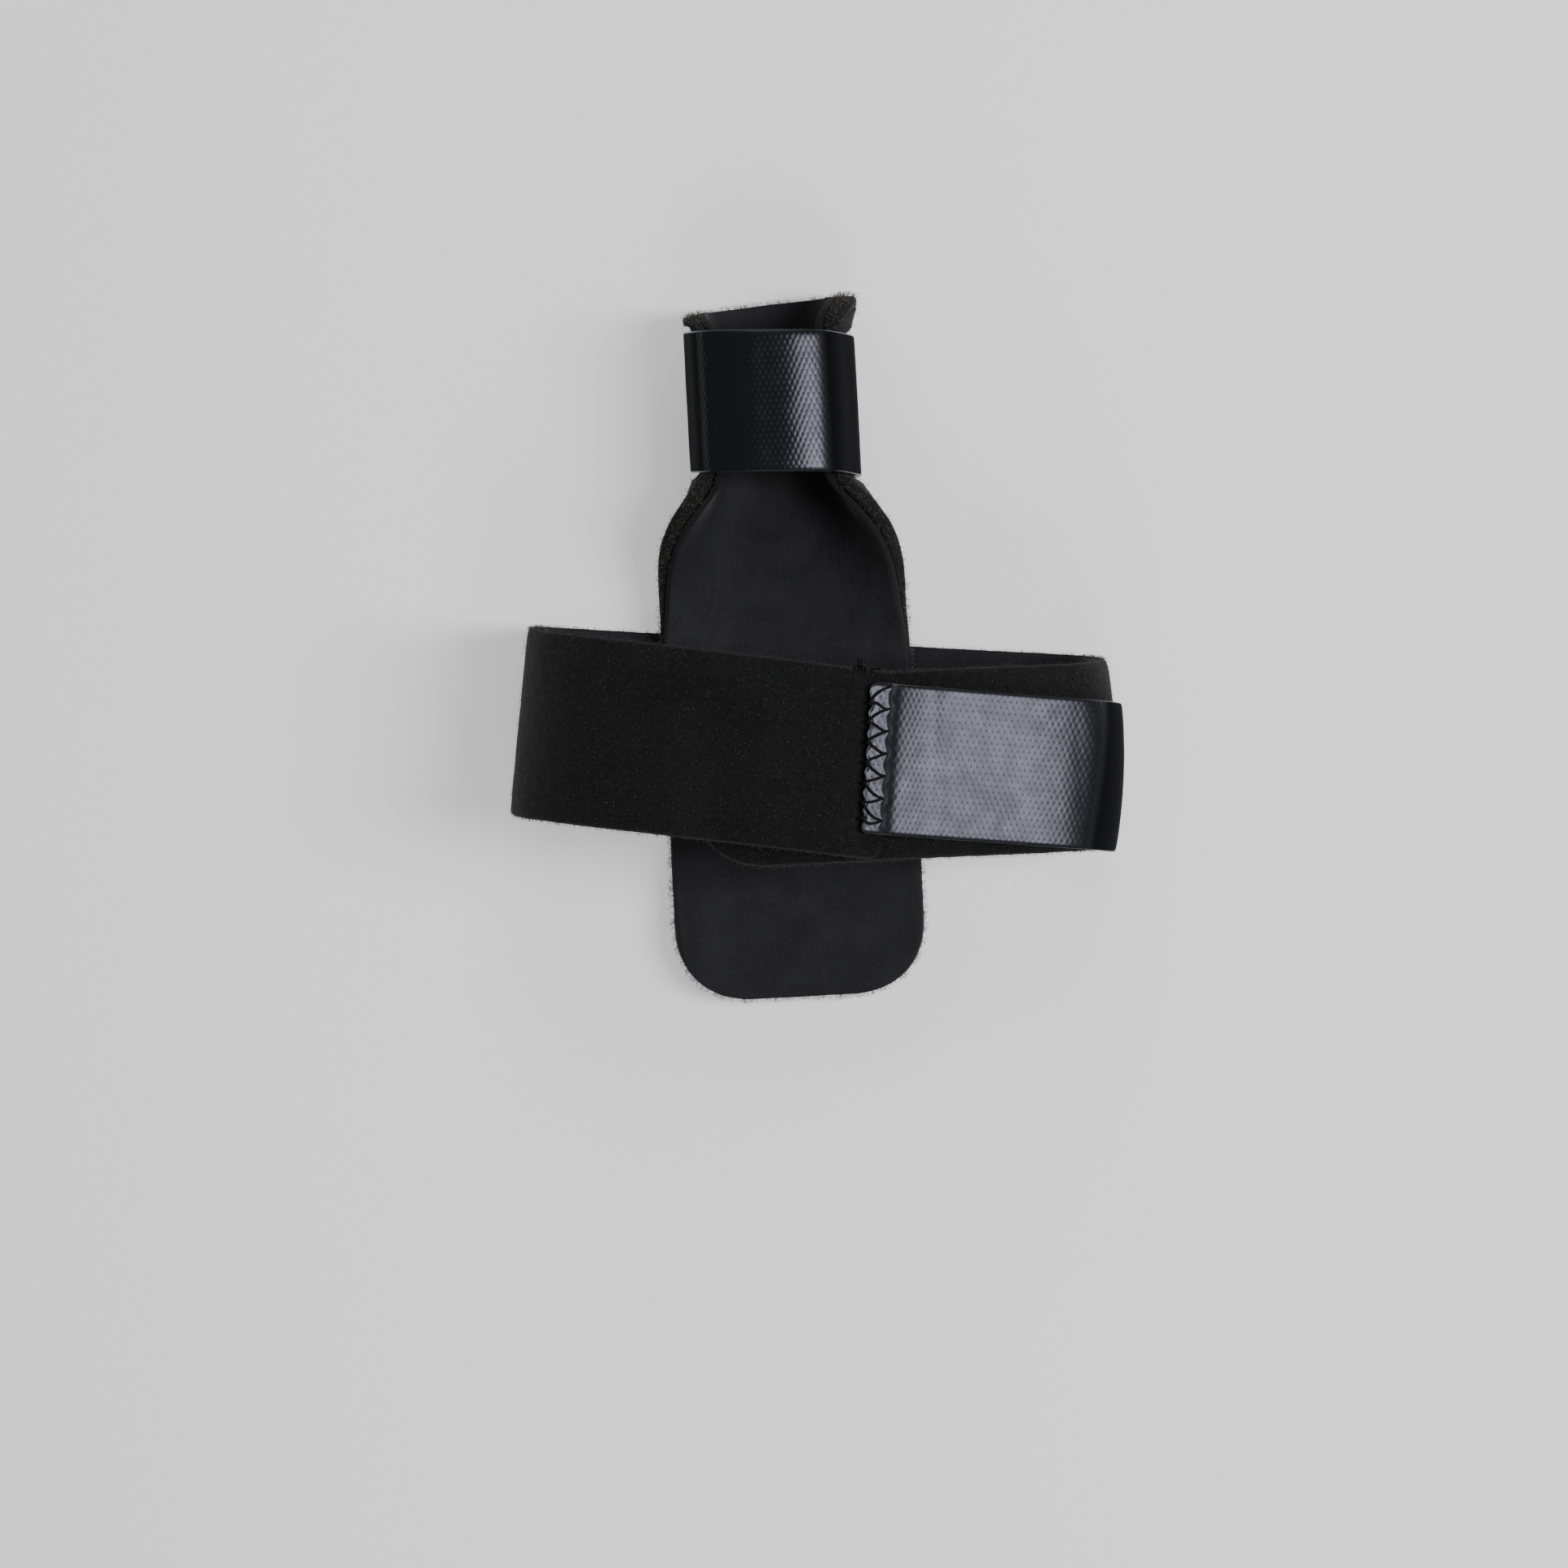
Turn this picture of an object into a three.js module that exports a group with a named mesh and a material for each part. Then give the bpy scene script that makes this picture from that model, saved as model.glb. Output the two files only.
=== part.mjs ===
// Finger splint for the middle finger, lying on its palm side with its straps closed.
// A padded trough runs from the palm to the middle of the finger. A hook tape closes it round the finger.
// A wide strap, sewn on under the trough, goes round the hand. Its two arms overlap on the back of the
// hand, and a hook tab sewn to the upper arm holds them closed.
// Millimetres. X runs across the palm towards the little finger, Y along the trough towards the fingertip,
// and Z from the palm side up to the back of the hand. The origin lies on the face that the splint rests
// on: the underside of the palm strap, where it crosses the middle of the trough.

import * as THREE from "three";

const { clamp, degToRad, euclideanModulo, lerp, smoothstep } = THREE.MathUtils;

// Left between two pieces that lie on each other
const gap = 0.3;

// Trough: an outer cover and an inner lining, bent from one outline
const coverThickness = 1.4;
const liningThickness = 1.0;
const troughReach = 57.4; // from the middle of the palm strap to the finger end
const troughTail = 36; // from the middle of the palm strap to the palm end
const fingerBlankWidth = 42; // width of the flat blank round the finger and in the palm
const palmBlankWidth = 34;
const fingerEndRadius = 5; // corners of the blank
const palmEndRadius = 9;
const troughFloor = 6; // flat part of the bent section
const radialWingTurn = degToRad(100); // how far each wing turns up from the floor
const ulnarWingTurn = degToRad(112);
const mouthTurn = 0.87; // share of the wings' turn left at the finger end
const palmTurn = 0.05; // and in the palm
const closingPower = 1.6; // above 1, the wings close late on their way to the tape
const mouthLean = degToRad(4); // the finger end reaches further on the little finger's side

// The finger inside the trough and the tape
const fingerWidth = 15.4;
const fingerDepth = 15.3;

// Finger tape
const tapeThickness = 0.9;
const fingerTapeWidth = 19;
const fingerTapeStart = 34.8; // from the middle of the palm strap to the tape's lower edge
const fingerTapeLean = degToRad(2.6);
const shoulderHeight = 3.4; // where the tape turns in over the finger, above the wings' tips
const shoulderRadius = 5;
const roofCrown = 0.7; // how far the roof's ridge stands above the finger
const roofRadius = 16;
const roofOffset = -1.2; // roof's ridge from the trough's middle
const tapeSewnPlace = 9; // both ends lie under the floor: the sewn one, and the free one
const tapeFreePlace = 4.5;
const tapeEndRadius = 7;

// Palm strap and the hand inside it, with the loop's reach on each side to the strap's outer face
const strapThickness = 2.2;
const strapWidth = 25;
const radialReach = 36.3;
const ulnarReach = 43.2;
const handThickness = 26;
const knuckleOffset = 2; // highest line of the back of the hand
const radialDrop = 4; // how much lower each side of the back is
const ulnarDrop = 10;
const radialPalmRadius = 11;
const radialBackRadius = 12;
const ulnarPalmRadius = 9.5;
const ulnarBackRadius = 9.5;
const knuckleRadius = 70;
const strapSkew = degToRad(-6); // the strap follows the oblique line of the knuckles
const handTaper = 0.0011; // share of the loop's breadth lost for each millimetre towards the fingers
const ulnarArmLength = 117.2; // from the trough's middle to the lower arm's end
const radialArmLength = 106; // and to the upper arm's end
const ulnarArmDrift = 6.8; // how far each arm's end drifts towards the wrist
const radialArmDrift = 4.1;
const driftPower = 1.2;
const lowerArmEndRadius = 9;

// Hook tab on the upper arm's end
const tabWidth = 20;
const tabLength = 46;
const tabSeamOverlap = 3;
const tabOffset = 1.0; // tab's middle from the arm's middle, towards the fingers
const tabLean = degToRad(1.2);
const tabEndRadius = 7.5;

// Ends that are cut square keep a small round on their corners
const cutCornerRadius = 1;

// The upper arm leaves the hand round its radial edge, and lies full on the lower arm before its end
const armClimb = 26;
const armClimbLead = 1.5;

// The tab comes down beyond the upper arm's end
const tabDescent = 7;
const tabDescentLead = 1;

// Steps of the faceted surfaces
const troughStep = 2.4;
const strapStep = 2.1;
const tapeStep = 1.5;
const troughColumns = 18;
const strapColumns = 5;
const tapeColumns = 3;
const cornerSteps = 5;

const wall = coverThickness + gap + liningThickness;
const fingerFloorHeight = tapeThickness + gap;
const palmFloorHeight = strapThickness + gap;
const wingRadius = fingerWidth / 2 + wall - troughFloor / 2;
const fingerTapeMiddle = fingerTapeStart + fingerTapeWidth / 2;
const fingerTapeEnd = fingerTapeStart + fingerTapeWidth;

// Over its skewed edge, the strap keeps the trough flat this far
const palmZoneEnd = strapWidth / 2 + (palmBlankWidth / 2) * Math.tan(Math.abs(strapSkew)) + 1;

// Places along a blank, closer together where its end corners are rounded, and none on a flat stretch
function rowPlaces({ start, end, step, startRadius, endRadius, flat = [] }) {
  const corner = (radius, i) => radius * (1 - Math.cos(((i / cornerSteps) * Math.PI) / 2));
  const rows = [];
  for (let i = 0; i < cornerSteps; i++) {
    rows.push(start + corner(startRadius, i));
  }
  const stops = [start + startRadius, ...flat, end - endRadius];
  for (let i = 0; i < stops.length - 1; i++) {
    const length = stops[i + 1] - stops[i];
    const steps = i % 2 ? 1 : Math.max(1, Math.round(length / step));
    for (let j = 0; j < steps; j++) {
      rows.push(stops[i] + (length * j) / steps);
    }
  }
  for (let i = cornerSteps; i >= 0; i--) {
    rows.push(end - corner(endRadius, i));
  }
  return rows;
}

// What a rounded end takes off half the width, at a distance from that end
function cornerLoss(distance, radius) {
  const inside = clamp(radius - distance, 0, radius);
  return radius - Math.sqrt(radius * radius - inside * inside);
}

// A flat blank bent into shape: each of its points goes to place(across, along, through), where across
// runs from -1 to 1, along takes the values in rows, and through runs from 0 to 1
function bentBlank(rows, columns, place) {
  const last = rows.length - 1;
  const blank = new THREE.BoxGeometry(2, last, 1, columns, last, 1);
  const position = blank.getAttribute("position");
  for (let i = 0; i < position.count; i++) {
    const along = rows[Math.round(position.getY(i) + last / 2)];
    const point = place(position.getX(i), along, position.getZ(i) + 0.5);
    position.setXYZ(i, point.x, point.y, point.z);
  }
  blank.computeVertexNormals();
  return blank;
}

// A closed outline of straight edges and rounded corners in the XZ plane, the first edge on the floor.
// at(s) gives the place and the outward normal at s, measured along the outline from X = 0.
function roundedOutline(corners) {
  const arcs = corners.map((corner, i) => {
    const before = corners.at(i - 1);
    const after = corners[(i + 1) % corners.length];
    const headingIn = Math.atan2(corner.z - before.z, corner.x - before.x);
    const headingOut = Math.atan2(after.z - corner.z, after.x - corner.x);
    const turn = euclideanModulo(headingOut - headingIn, 2 * Math.PI);
    const cut = corner.radius * Math.tan(turn / 2);
    const start = { x: corner.x - cut * Math.cos(headingIn), z: corner.z - cut * Math.sin(headingIn) };
    const end = { x: corner.x + cut * Math.cos(headingOut), z: corner.z + cut * Math.sin(headingOut) };
    const centre = {
      x: start.x - corner.radius * Math.sin(headingIn),
      z: start.z + corner.radius * Math.cos(headingIn),
    };
    return { headingIn, turn, radius: corner.radius, start, centre, end };
  });
  const pieces = arcs.flatMap((arc, i) => {
    const from = arcs.at(i - 1).end;
    const length = Math.hypot(arc.start.x - from.x, arc.start.z - from.z);
    return [
      { length, from, heading: () => arc.headingIn },
      { length: arc.radius * arc.turn, arc, heading: (d) => arc.headingIn + d / arc.radius },
    ];
  });
  const perimeter = pieces.reduce((sum, piece) => sum + piece.length, 0);
  const floorStart = arcs.at(-1).end.x;

  function at(s) {
    let left = euclideanModulo(s - floorStart, perimeter);
    let piece = pieces[0];
    for (piece of pieces) {
      if (left <= piece.length) break;
      left -= piece.length;
    }
    const heading = piece.heading(left);
    const normal = { x: Math.sin(heading), z: -Math.cos(heading) };
    if (piece.arc) {
      const { centre, radius } = piece.arc;
      return { x: centre.x + radius * normal.x, z: centre.z + radius * normal.z, normal };
    }
    const { from } = piece;
    return { x: from.x + left * Math.cos(heading), z: from.z + left * Math.sin(heading), normal };
  }
  return { perimeter, at, floorStart, floorEnd: arcs[0].start.x };
}

// A band laid on an outline. Its middle line lies at middle(s), and its outer face stands face(s)
// above the outline.
function bandOn(outline, { rows, columns, middle, halfWidth, face, thickness }) {
  return bentBlank(rows, columns, (across, s, through) => {
    const slope = Math.atan(middle(s + 0.5) - middle(s - 0.5));
    const offset = across * halfWidth(s);
    const around = s - offset * Math.sin(slope);
    const { x, z, normal } = outline.at(around);
    const height = face(around) - thickness * (1 - through);
    const y = middle(s) + offset * Math.cos(slope);
    return new THREE.Vector3(x + height * normal.x, y, z + height * normal.z);
  });
}

// Outer face of the trough's section: flat in the middle, then a wing that turns up through an arc
function troughSection(u, turnShare) {
  const side = Math.sign(u);
  const arcLength = wingRadius * (side < 0 ? radialWingTurn : ulnarWingTurn);
  const beyondFloor = Math.max(0, Math.abs(u) - troughFloor / 2);
  const onArc = Math.min(beyondFloor, arcLength);
  const straight = beyondFloor - onArc;
  const radius = wingRadius / turnShare;
  const turn = onArc / radius;
  const x = Math.min(Math.abs(u), troughFloor / 2) + radius * Math.sin(turn) + straight * Math.cos(turn);
  const z = radius * (1 - Math.cos(turn)) + straight * Math.sin(turn);
  return { x: side * x, z, inward: { x: -side * Math.sin(turn), z: Math.cos(turn) } };
}

// The leaning tape holds the trough closed from heldStart to heldEnd
const tape = fingerOutline();
const heldMargin = (tape.perimeter / 3) * Math.tan(fingerTapeLean);
const heldStart = fingerTapeStart - heldMargin;
const heldEnd = fingerTapeEnd + heldMargin;

// Share of the wings' turn at a place along the trough, which springs open beyond the tape
function troughTurn(y) {
  if (y > heldEnd) {
    return lerp(1, mouthTurn, clamp((y - heldEnd) / (troughReach - heldEnd), 0, 1));
  }
  const closingStart = palmZoneEnd / 2;
  const closing = clamp((y - closingStart) / (heldStart - closingStart), 0, 1);
  return lerp(palmTurn, 1, closing ** closingPower);
}

// One layer of the trough, between two depths below the outer face
function troughLayer(outerDepth, innerDepth) {
  const rows = rowPlaces({
    start: -troughTail,
    end: troughReach,
    step: troughStep,
    startRadius: palmEndRadius,
    endRadius: fingerEndRadius,
  });
  return bentBlank(rows, troughColumns, (across, y, through) => {
    const toFinger = smoothstep(y, palmZoneEnd, heldStart);
    const loss = cornerLoss(y + troughTail, palmEndRadius) + cornerLoss(troughReach - y, fingerEndRadius);
    const halfWidth = lerp(palmBlankWidth, fingerBlankWidth, toFinger) / 2 - loss;
    const section = troughSection(across * halfWidth, troughTurn(y));
    const floor = lerp(palmFloorHeight, fingerFloorHeight, toFinger);
    const depth = lerp(outerDepth, innerDepth, through);
    const x = section.x + depth * section.inward.x;
    const lean = x * Math.tan(mouthLean) * smoothstep(y, fingerTapeMiddle, troughReach);
    return new THREE.Vector3(x, y + lean, floor + section.z + depth * section.inward.z);
  });
}

// Outer face of the finger tape: up along both wings, past their tips, and over the finger
function fingerOutline() {
  const radius = wingRadius + gap + tapeThickness;
  const wing = (side, turn) => {
    const tip = troughSection(side * (fingerBlankWidth / 2), 1);
    const shoulder = fingerFloorHeight + tip.z + shoulderHeight;
    const corner = troughFloor / 2 + radius * Math.tan(turn / 2);
    return { corner: side * corner, shoulder, x: side * (corner + shoulder / Math.tan(turn)) };
  };
  const ulnar = wing(1, ulnarWingTurn);
  const radial = wing(-1, radialWingTurn);
  const fingerTop = fingerFloorHeight + wall + fingerDepth + tapeThickness;
  const ridge = Math.max(fingerTop, ulnar.shoulder, radial.shoulder) + roofCrown;
  return roundedOutline([
    { x: ulnar.corner, z: 0, radius },
    { x: ulnar.x, z: ulnar.shoulder, radius: shoulderRadius },
    { x: roofOffset, z: ridge, radius: roofRadius },
    { x: radial.x, z: radial.shoulder, radius: shoulderRadius },
    { x: radial.corner, z: 0, radius },
  ]);
}

// Tape round the finger, from its sewn end to its free end
function fingerTape() {
  const start = tapeSewnPlace;
  const end = tape.perimeter + tapeFreePlace;
  return bandOn(tape, {
    rows: rowPlaces({ start, end, step: tapeStep, startRadius: cutCornerRadius, endRadius: tapeEndRadius }),
    columns: tapeColumns,
    middle: (s) => fingerTapeMiddle + (s - tape.perimeter / 2) * Math.tan(fingerTapeLean),
    halfWidth: (s) =>
      fingerTapeWidth / 2 - cornerLoss(s - start, cutCornerRadius) - cornerLoss(end - s, tapeEndRadius),
    face: () => 0,
    thickness: tapeThickness,
  });
}

// Outer face of a single layer of the palm strap, round the hand
function handOutline() {
  const back = palmFloorHeight + wall + handThickness + strapThickness;
  return roundedOutline([
    { x: ulnarReach, z: 0, radius: ulnarPalmRadius },
    { x: ulnarReach, z: back - ulnarDrop, radius: ulnarBackRadius },
    { x: knuckleOffset, z: back, radius: knuckleRadius },
    { x: -radialReach, z: back - radialDrop, radius: radialBackRadius },
    { x: -radialReach, z: 0, radius: radialPalmRadius },
  ]);
}

const hand = handOutline();
const upperArmEnd = hand.perimeter - radialArmLength;
const lowerArmEnd = ulnarArmLength - hand.perimeter;

// How far the strap's middle line lies from the loop's middle plane
function strapDrift(s) {
  const [arm, reach, drift] =
    s > 0 ? [ulnarArmLength, ulnarReach, ulnarArmDrift] : [radialArmLength, radialReach, radialArmDrift];
  return -drift * clamp((Math.abs(s) - reach) / (arm - reach), 0, 1) ** driftPower;
}

// The hand is narrower towards the fingers
function tapered(band) {
  const position = band.getAttribute("position");
  const centre = (ulnarReach - radialReach) / 2;
  for (let i = 0; i < position.count; i++) {
    position.setX(i, centre + (position.getX(i) - centre) * (1 - handTaper * position.getY(i)));
  }
  band.computeVertexNormals();
  return band;
}

// Strap round the hand: the lower arm passes the little finger's side, and the upper arm the thumb's
function palmStrap() {
  const start = -radialArmLength;
  const end = ulnarArmLength;
  const climbEnd = lowerArmEnd + armClimbLead;
  const band = bandOn(hand, {
    rows: rowPlaces({
      start,
      end,
      step: strapStep,
      startRadius: cutCornerRadius,
      endRadius: lowerArmEndRadius,
      flat: [hand.floorStart, hand.floorEnd],
    }),
    columns: strapColumns,
    middle: strapDrift,
    halfWidth: (s) =>
      strapWidth / 2 - cornerLoss(s - start, cutCornerRadius) - cornerLoss(end - s, lowerArmEndRadius),
    face: (s) => (strapThickness + gap) * (1 - smoothstep(s, climbEnd, climbEnd + armClimb)),
    thickness: strapThickness,
  });
  return tapered(band);
}

// Hook tab: sewn on top of the upper arm's end, it comes down onto the lower arm and ends on its side
function hookTab() {
  const end = upperArmEnd + tabSeamOverlap;
  const start = end - tabLength;
  const endMiddle = tabOffset - radialArmDrift;
  const descentEnd = upperArmEnd - tabDescentLead;
  const band = bandOn(hand, {
    rows: rowPlaces({ start, end, step: strapStep, startRadius: tabEndRadius, endRadius: cutCornerRadius }),
    columns: strapColumns,
    middle: (s) => endMiddle - (end - s) * Math.tan(tabLean),
    halfWidth: (s) =>
      tabWidth / 2 - cornerLoss(s - start, tabEndRadius) - cornerLoss(end - s, cutCornerRadius),
    face: (s) =>
      gap + tapeThickness + (strapThickness + gap) * smoothstep(s, descentEnd - tabDescent, descentEnd),
    thickness: tapeThickness,
  });
  return tapered(band);
}

const loopFabric = new THREE.MeshStandardMaterial({ color: 0x17171a, roughness: 0.95, metalness: 0 });
const liningFabric = new THREE.MeshStandardMaterial({ color: 0x1e1e21, roughness: 0.9, metalness: 0 });
const hookTape = new THREE.MeshStandardMaterial({ color: 0x0c0d10, roughness: 0.3, metalness: 0 });

function named(name, geometry, material) {
  const mesh = new THREE.Mesh(geometry, material);
  mesh.name = name;
  return mesh;
}

const handLoop = new THREE.Group();
handLoop.rotation.z = strapSkew;
handLoop.add(named("palm_strap", palmStrap(), loopFabric));
handLoop.add(named("palm_hook_tab", hookTab(), hookTape));

const splint = new THREE.Group();
splint.add(named("outer_cover", troughLayer(0, coverThickness), loopFabric));
splint.add(named("inner_lining", troughLayer(coverThickness + gap, wall), liningFabric));
splint.add(named("finger_strap", fingerTape(), hookTape));
splint.add(handLoop);

export default splint;
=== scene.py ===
# Finger splint for the middle finger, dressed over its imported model: a padded trough for the finger,
# closed by a glossy hook tape, and a foam-backed strap round the hand, closed by a hook tab.

from math import cos, pi, radians, sin

import bmesh
import bpy
import numpy as np
from mathutils import Matrix, Vector
from mathutils.bvhtree import BVHTree
from mathutils.geometry import barycentric_transform


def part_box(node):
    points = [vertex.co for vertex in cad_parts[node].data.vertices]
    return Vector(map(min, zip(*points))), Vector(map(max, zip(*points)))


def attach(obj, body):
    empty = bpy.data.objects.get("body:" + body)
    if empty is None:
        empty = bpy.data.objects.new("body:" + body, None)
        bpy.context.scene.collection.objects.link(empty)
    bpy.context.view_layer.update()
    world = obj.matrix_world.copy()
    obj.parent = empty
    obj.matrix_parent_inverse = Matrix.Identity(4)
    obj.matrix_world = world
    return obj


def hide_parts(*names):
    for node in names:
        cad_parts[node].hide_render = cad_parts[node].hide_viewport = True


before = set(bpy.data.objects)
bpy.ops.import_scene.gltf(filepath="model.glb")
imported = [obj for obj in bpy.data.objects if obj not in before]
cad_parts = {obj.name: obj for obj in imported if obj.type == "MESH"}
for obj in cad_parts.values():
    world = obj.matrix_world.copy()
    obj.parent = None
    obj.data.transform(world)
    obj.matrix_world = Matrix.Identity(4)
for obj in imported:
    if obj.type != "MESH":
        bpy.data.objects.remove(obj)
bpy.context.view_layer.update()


# Camera. It hangs a metre above the back of the hand and looks straight down, turned by three
# degrees, as in the photo.
MM = 0.001
view_centre = Vector((-1.12, -7.05, 30)) * MM
view_distance = 1.0
view_width = 207.7 * MM
view_roll = radians(3)

bpy.ops.object.camera_add(
    location=view_centre + Vector((0, 0, view_distance)), rotation=(0, 0, -view_roll)
)
camera = bpy.context.object
camera.name = "photo_camera"
camera.data.lens = camera.data.sensor_width * view_distance / view_width
camera.data.clip_start = 0.05
camera.data.clip_end = 20
bpy.context.scene.camera = camera


# Floor and light. A white matt table, lit a little from below, with one bright softbox high on the
# little finger's side, whose reflection makes the broad shine on the coated tapes.
def linear(colour):
    """The linear value of an sRGB colour."""
    channels = [int(colour[i : i + 2], 16) / 255 for i in (1, 3, 5)]
    lit = [c / 12.92 if c <= 0.04045 else ((c + 0.055) / 1.055) ** 2.4 for c in channels]
    return (*lit, 1)


def new_material(name):
    """A new material and its Principled shader."""
    material = bpy.data.materials.new(name)
    material.use_nodes = True
    return material, material.node_tree.nodes["Principled BSDF"]


def join(material, node, sockets):
    """Sets a node's sockets, each to a value or to another node's output."""
    for socket, value in sockets.items():
        if isinstance(value, bpy.types.NodeSocket):
            material.node_tree.links.new(value, node.inputs[socket])
        else:
            node.inputs[socket].default_value = value


def add_node(material, kind, sockets, output=0, **settings):
    """Adds a node with its settings and links, and gives the output asked for."""
    node = material.node_tree.nodes.new(kind)
    for setting, value in settings.items():
        setattr(node, setting, value)
    join(material, node, sockets)
    return node.outputs[output]


bpy.ops.object.select_all(action="DESELECT")
bpy.ops.mesh.primitive_plane_add(size=6, location=(0, 0, -0.2 * MM))
floor = bpy.context.object
floor.name = "white_table"
white_board, shader = new_material("matt_white_board")
join(
    white_board,
    shader,
    {
        "Base Color": linear("#f4f4f4"),
        "Roughness": 0.9,
        "Emission Color": linear("#ffffff"),
        "Emission Strength": 0.45,
    },
)
floor.data.materials.append(white_board)


def softbox(name, from_above, from_right, distance, size, brightness):
    """A light aimed at the splint, so many degrees from straight above and round from the right."""
    tilt = radians(from_above)
    place = Vector((sin(tilt), 0, cos(tilt))) * distance
    place.rotate(Matrix.Rotation(radians(from_right), 3, "Z"))
    bpy.ops.object.light_add(type="AREA", location=view_centre + place)
    light = bpy.context.object
    light.name = name
    light.rotation_euler = place.to_track_quat("Z", "Y").to_euler()
    light.data.shape = "RECTANGLE"
    light.data.size = size[0]
    light.data.size_y = size[1]
    light.data.energy = brightness * pi * size[0] * size[1]


softbox("softbox_right", 35.5, 0, distance=0.85, size=(0.21, 0.5), brightness=15.5)
softbox("softbox_front", 52, -90, distance=1.2, size=(0.7, 0.7), brightness=1.8)
softbox("softbox_back", 52, 90, distance=1.2, size=(0.7, 0.7), brightness=1.8)

bpy.context.scene.world = bpy.data.worlds.new("dim_studio")
bpy.context.scene.world.use_nodes = True
studio = bpy.context.scene.world.node_tree.nodes["Background"]
studio.inputs["Color"].default_value = linear("#cfcfd1")
studio.inputs["Strength"].default_value = 0.3


# Padded trough, outer cover. Black brushed nylon loop fabric on thin foam, cut from one blank and
# bent round the finger. The foam swells where no band holds it, and its cut edge shows pores.
def only(piece):
    """Selects one piece alone."""
    bpy.ops.object.select_all(action="DESELECT")
    piece.select_set(True)
    bpy.context.view_layer.objects.active = piece


def layer_of(node, name):
    """A copy of a CAD solid, merged, with its triangles paired into the quads of its grid."""
    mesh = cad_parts[node].data.copy()
    mesh.name = name
    mesh.materials.clear()
    piece = bpy.data.objects.new(name, mesh)
    bpy.context.collection.objects.link(piece)
    only(piece)
    bpy.ops.object.mode_set(mode="EDIT")
    bpy.ops.mesh.select_all(action="SELECT")
    bpy.ops.mesh.customdata_custom_splitnormals_clear()
    bpy.ops.mesh.remove_doubles(threshold=0.005 * MM)
    bpy.ops.mesh.tris_convert_to_quads(
        face_threshold=3.1, shape_threshold=3.1, topology_influence=1.5
    )
    bpy.ops.object.mode_set(mode="OBJECT")
    return piece


def side_of(piece, place):
    """Selects, in edit mode, the whole side of a layer that has its face at that place."""
    bpy.ops.mesh.select_all(action="DESELECT")
    shape = bmesh.from_edit_mesh(piece.data)
    start = min(shape.faces, key=lambda face: (face.calc_center_median() - place).length)
    start.select = True
    shape.faces.active = start
    bmesh.update_edit_mesh(piece.data)
    bpy.ops.mesh.faces_select_linked_flat(sharpness=radians(50))
    return bmesh.from_edit_mesh(piece.data)


def dress_sides(piece, places, materials):
    """Gives the sides of a layer their materials: the side at each place, and the cut edge last."""
    for material in materials:
        piece.data.materials.append(material)
    only(piece)
    bpy.ops.object.mode_set(mode="EDIT")
    shape = bmesh.from_edit_mesh(piece.data)
    for face in shape.faces:
        face.material_index = len(places)
    bmesh.update_edit_mesh(piece.data)
    for number, place in enumerate(places):
        shape = side_of(piece, Vector(place) * MM)
        for face in shape.faces:
            if face.select:
                face.material_index = number
        bmesh.update_edit_mesh(piece.data)
    bpy.ops.object.mode_set(mode="OBJECT")


def crease_edges(piece, crease):
    """Keeps the cut edges of a layer from rounding too far when it is subdivided."""
    only(piece)
    bpy.ops.object.mode_set(mode="EDIT")
    bpy.ops.mesh.select_mode(type="EDGE")
    bpy.ops.mesh.select_all(action="DESELECT")
    bpy.ops.mesh.edges_select_sharp(sharpness=radians(60))
    bpy.ops.transform.edge_crease(value=crease)
    bpy.ops.mesh.select_mode(type="FACE")
    bpy.ops.object.mode_set(mode="OBJECT")


def subdivide(piece, levels):
    """Smooths a layer by subdivision."""
    only(piece)
    smoother = piece.modifiers.new("smoother", "SUBSURF")
    smoother.levels = levels
    smoother.render_levels = levels
    bpy.ops.object.modifier_apply(modifier=smoother.name)


def roughen(piece, unevenness):
    """Makes a layer slightly uneven, with lumps of each spacing and height in millimetres."""
    only(piece)
    for spacing, height in unevenness:
        lumps = bpy.data.textures.new(piece.name + "_lumps", "CLOUDS")
        lumps.noise_scale = spacing * MM
        bumps = piece.modifiers.new("lumps", "DISPLACE")
        bumps.texture = lumps
        bumps.texture_coords = "LOCAL"
        bumps.strength = height * MM
        bumps.mid_level = 0.5
        bpy.ops.object.modifier_apply(modifier=bumps.name)
    bpy.ops.object.shade_smooth()


def points_of(piece):
    """Where the points of a piece are."""
    points = np.empty(len(piece.data.vertices) * 3)
    piece.data.vertices.foreach_get("co", points)
    return points.reshape(-1, 3)


def put_points(piece, points):
    """Moves the points of a piece."""
    piece.data.vertices.foreach_set("co", np.asarray(points, dtype=np.float32).ravel())
    piece.data.update()


def surface_of(mesh, side=None):
    """A mesh, or one side of it, for finding the nearest place on it."""
    faces = [
        tuple(face.vertices)
        for face in mesh.polygons
        if side is None or face.material_index == side
    ]
    return BVHTree.FromPolygons([point.co for point in mesh.vertices], faces)


def distance_to(surface, points):
    """How far each point is from a surface."""
    return np.array([surface.find_nearest(Vector(point))[3] for point in points])


def smooth(value, start, end):
    """Rises smoothly from 0 at the start to 1 at the end."""
    share = np.clip((value - start) / (end - start), 0, 1)
    return share * share * (3 - 2 * share)


def swell(piece, still_side, growth):
    """Thickens a layer away from the side that stays, by a share of its thickness at each point."""
    still = surface_of(piece.data, still_side)
    points = points_of(piece)
    nearest = np.array([still.find_nearest(Vector(point))[0] for point in points])
    put_points(piece, nearest + (points - nearest) * (1 + np.asarray(growth))[:, None])


# Brushed nylon loop: curly filaments that swallow the light, so it is nearly black and quite matt, with
# a grey bloom where it turns away and small tufts. Single filaments that glint are painted in: bright
# specks in its colour, a painted highlight
pile_tuft = 0.7
pile_grain = 0.16
filament_spacing = 0.3


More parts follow.
